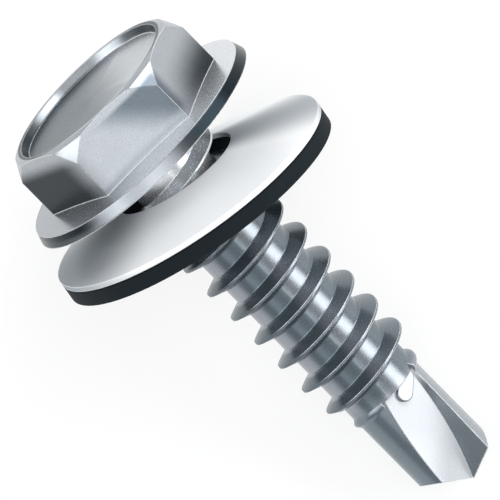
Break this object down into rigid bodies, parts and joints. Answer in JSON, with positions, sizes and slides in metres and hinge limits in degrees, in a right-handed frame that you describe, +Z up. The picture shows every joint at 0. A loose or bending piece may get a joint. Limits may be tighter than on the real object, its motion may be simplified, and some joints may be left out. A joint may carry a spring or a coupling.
{
  "type": "self drilling screw",
  "caption": "Hexagon flange-head self drilling screw with a forged drill point and a loose rubber-bonded sealing washer, lying at rest.",
  "frame": {"origin": "middle of the footprint on the surface that the screw lies on", "axes": "+Z up, +X along the lying screw from its head to its drill point, +Y to its left"},
  "size_m": [0.0294, 0.0162, 0.0158],
  "materials": {
    "zinc_plated_steel": "bright zinc plate",
    "zinc_plated_sheet": "bright zinc plate",
    "epdm_rubber": "satin moulded rubber"
  },
  "bodies": {
    "screw": {"screw": "zinc_plated_steel"},
    "sealing_washer": {"washer_disc": "zinc_plated_sheet", "sealing_ring": "epdm_rubber"}
  },
  "joints": [
    {"name": "washer_slide", "type": "slide", "parent": "screw", "child": "sealing_washer", "axis": [-0.9561, 0, 0.2929], "range_m": [0, 0.00154]}
  ]
}
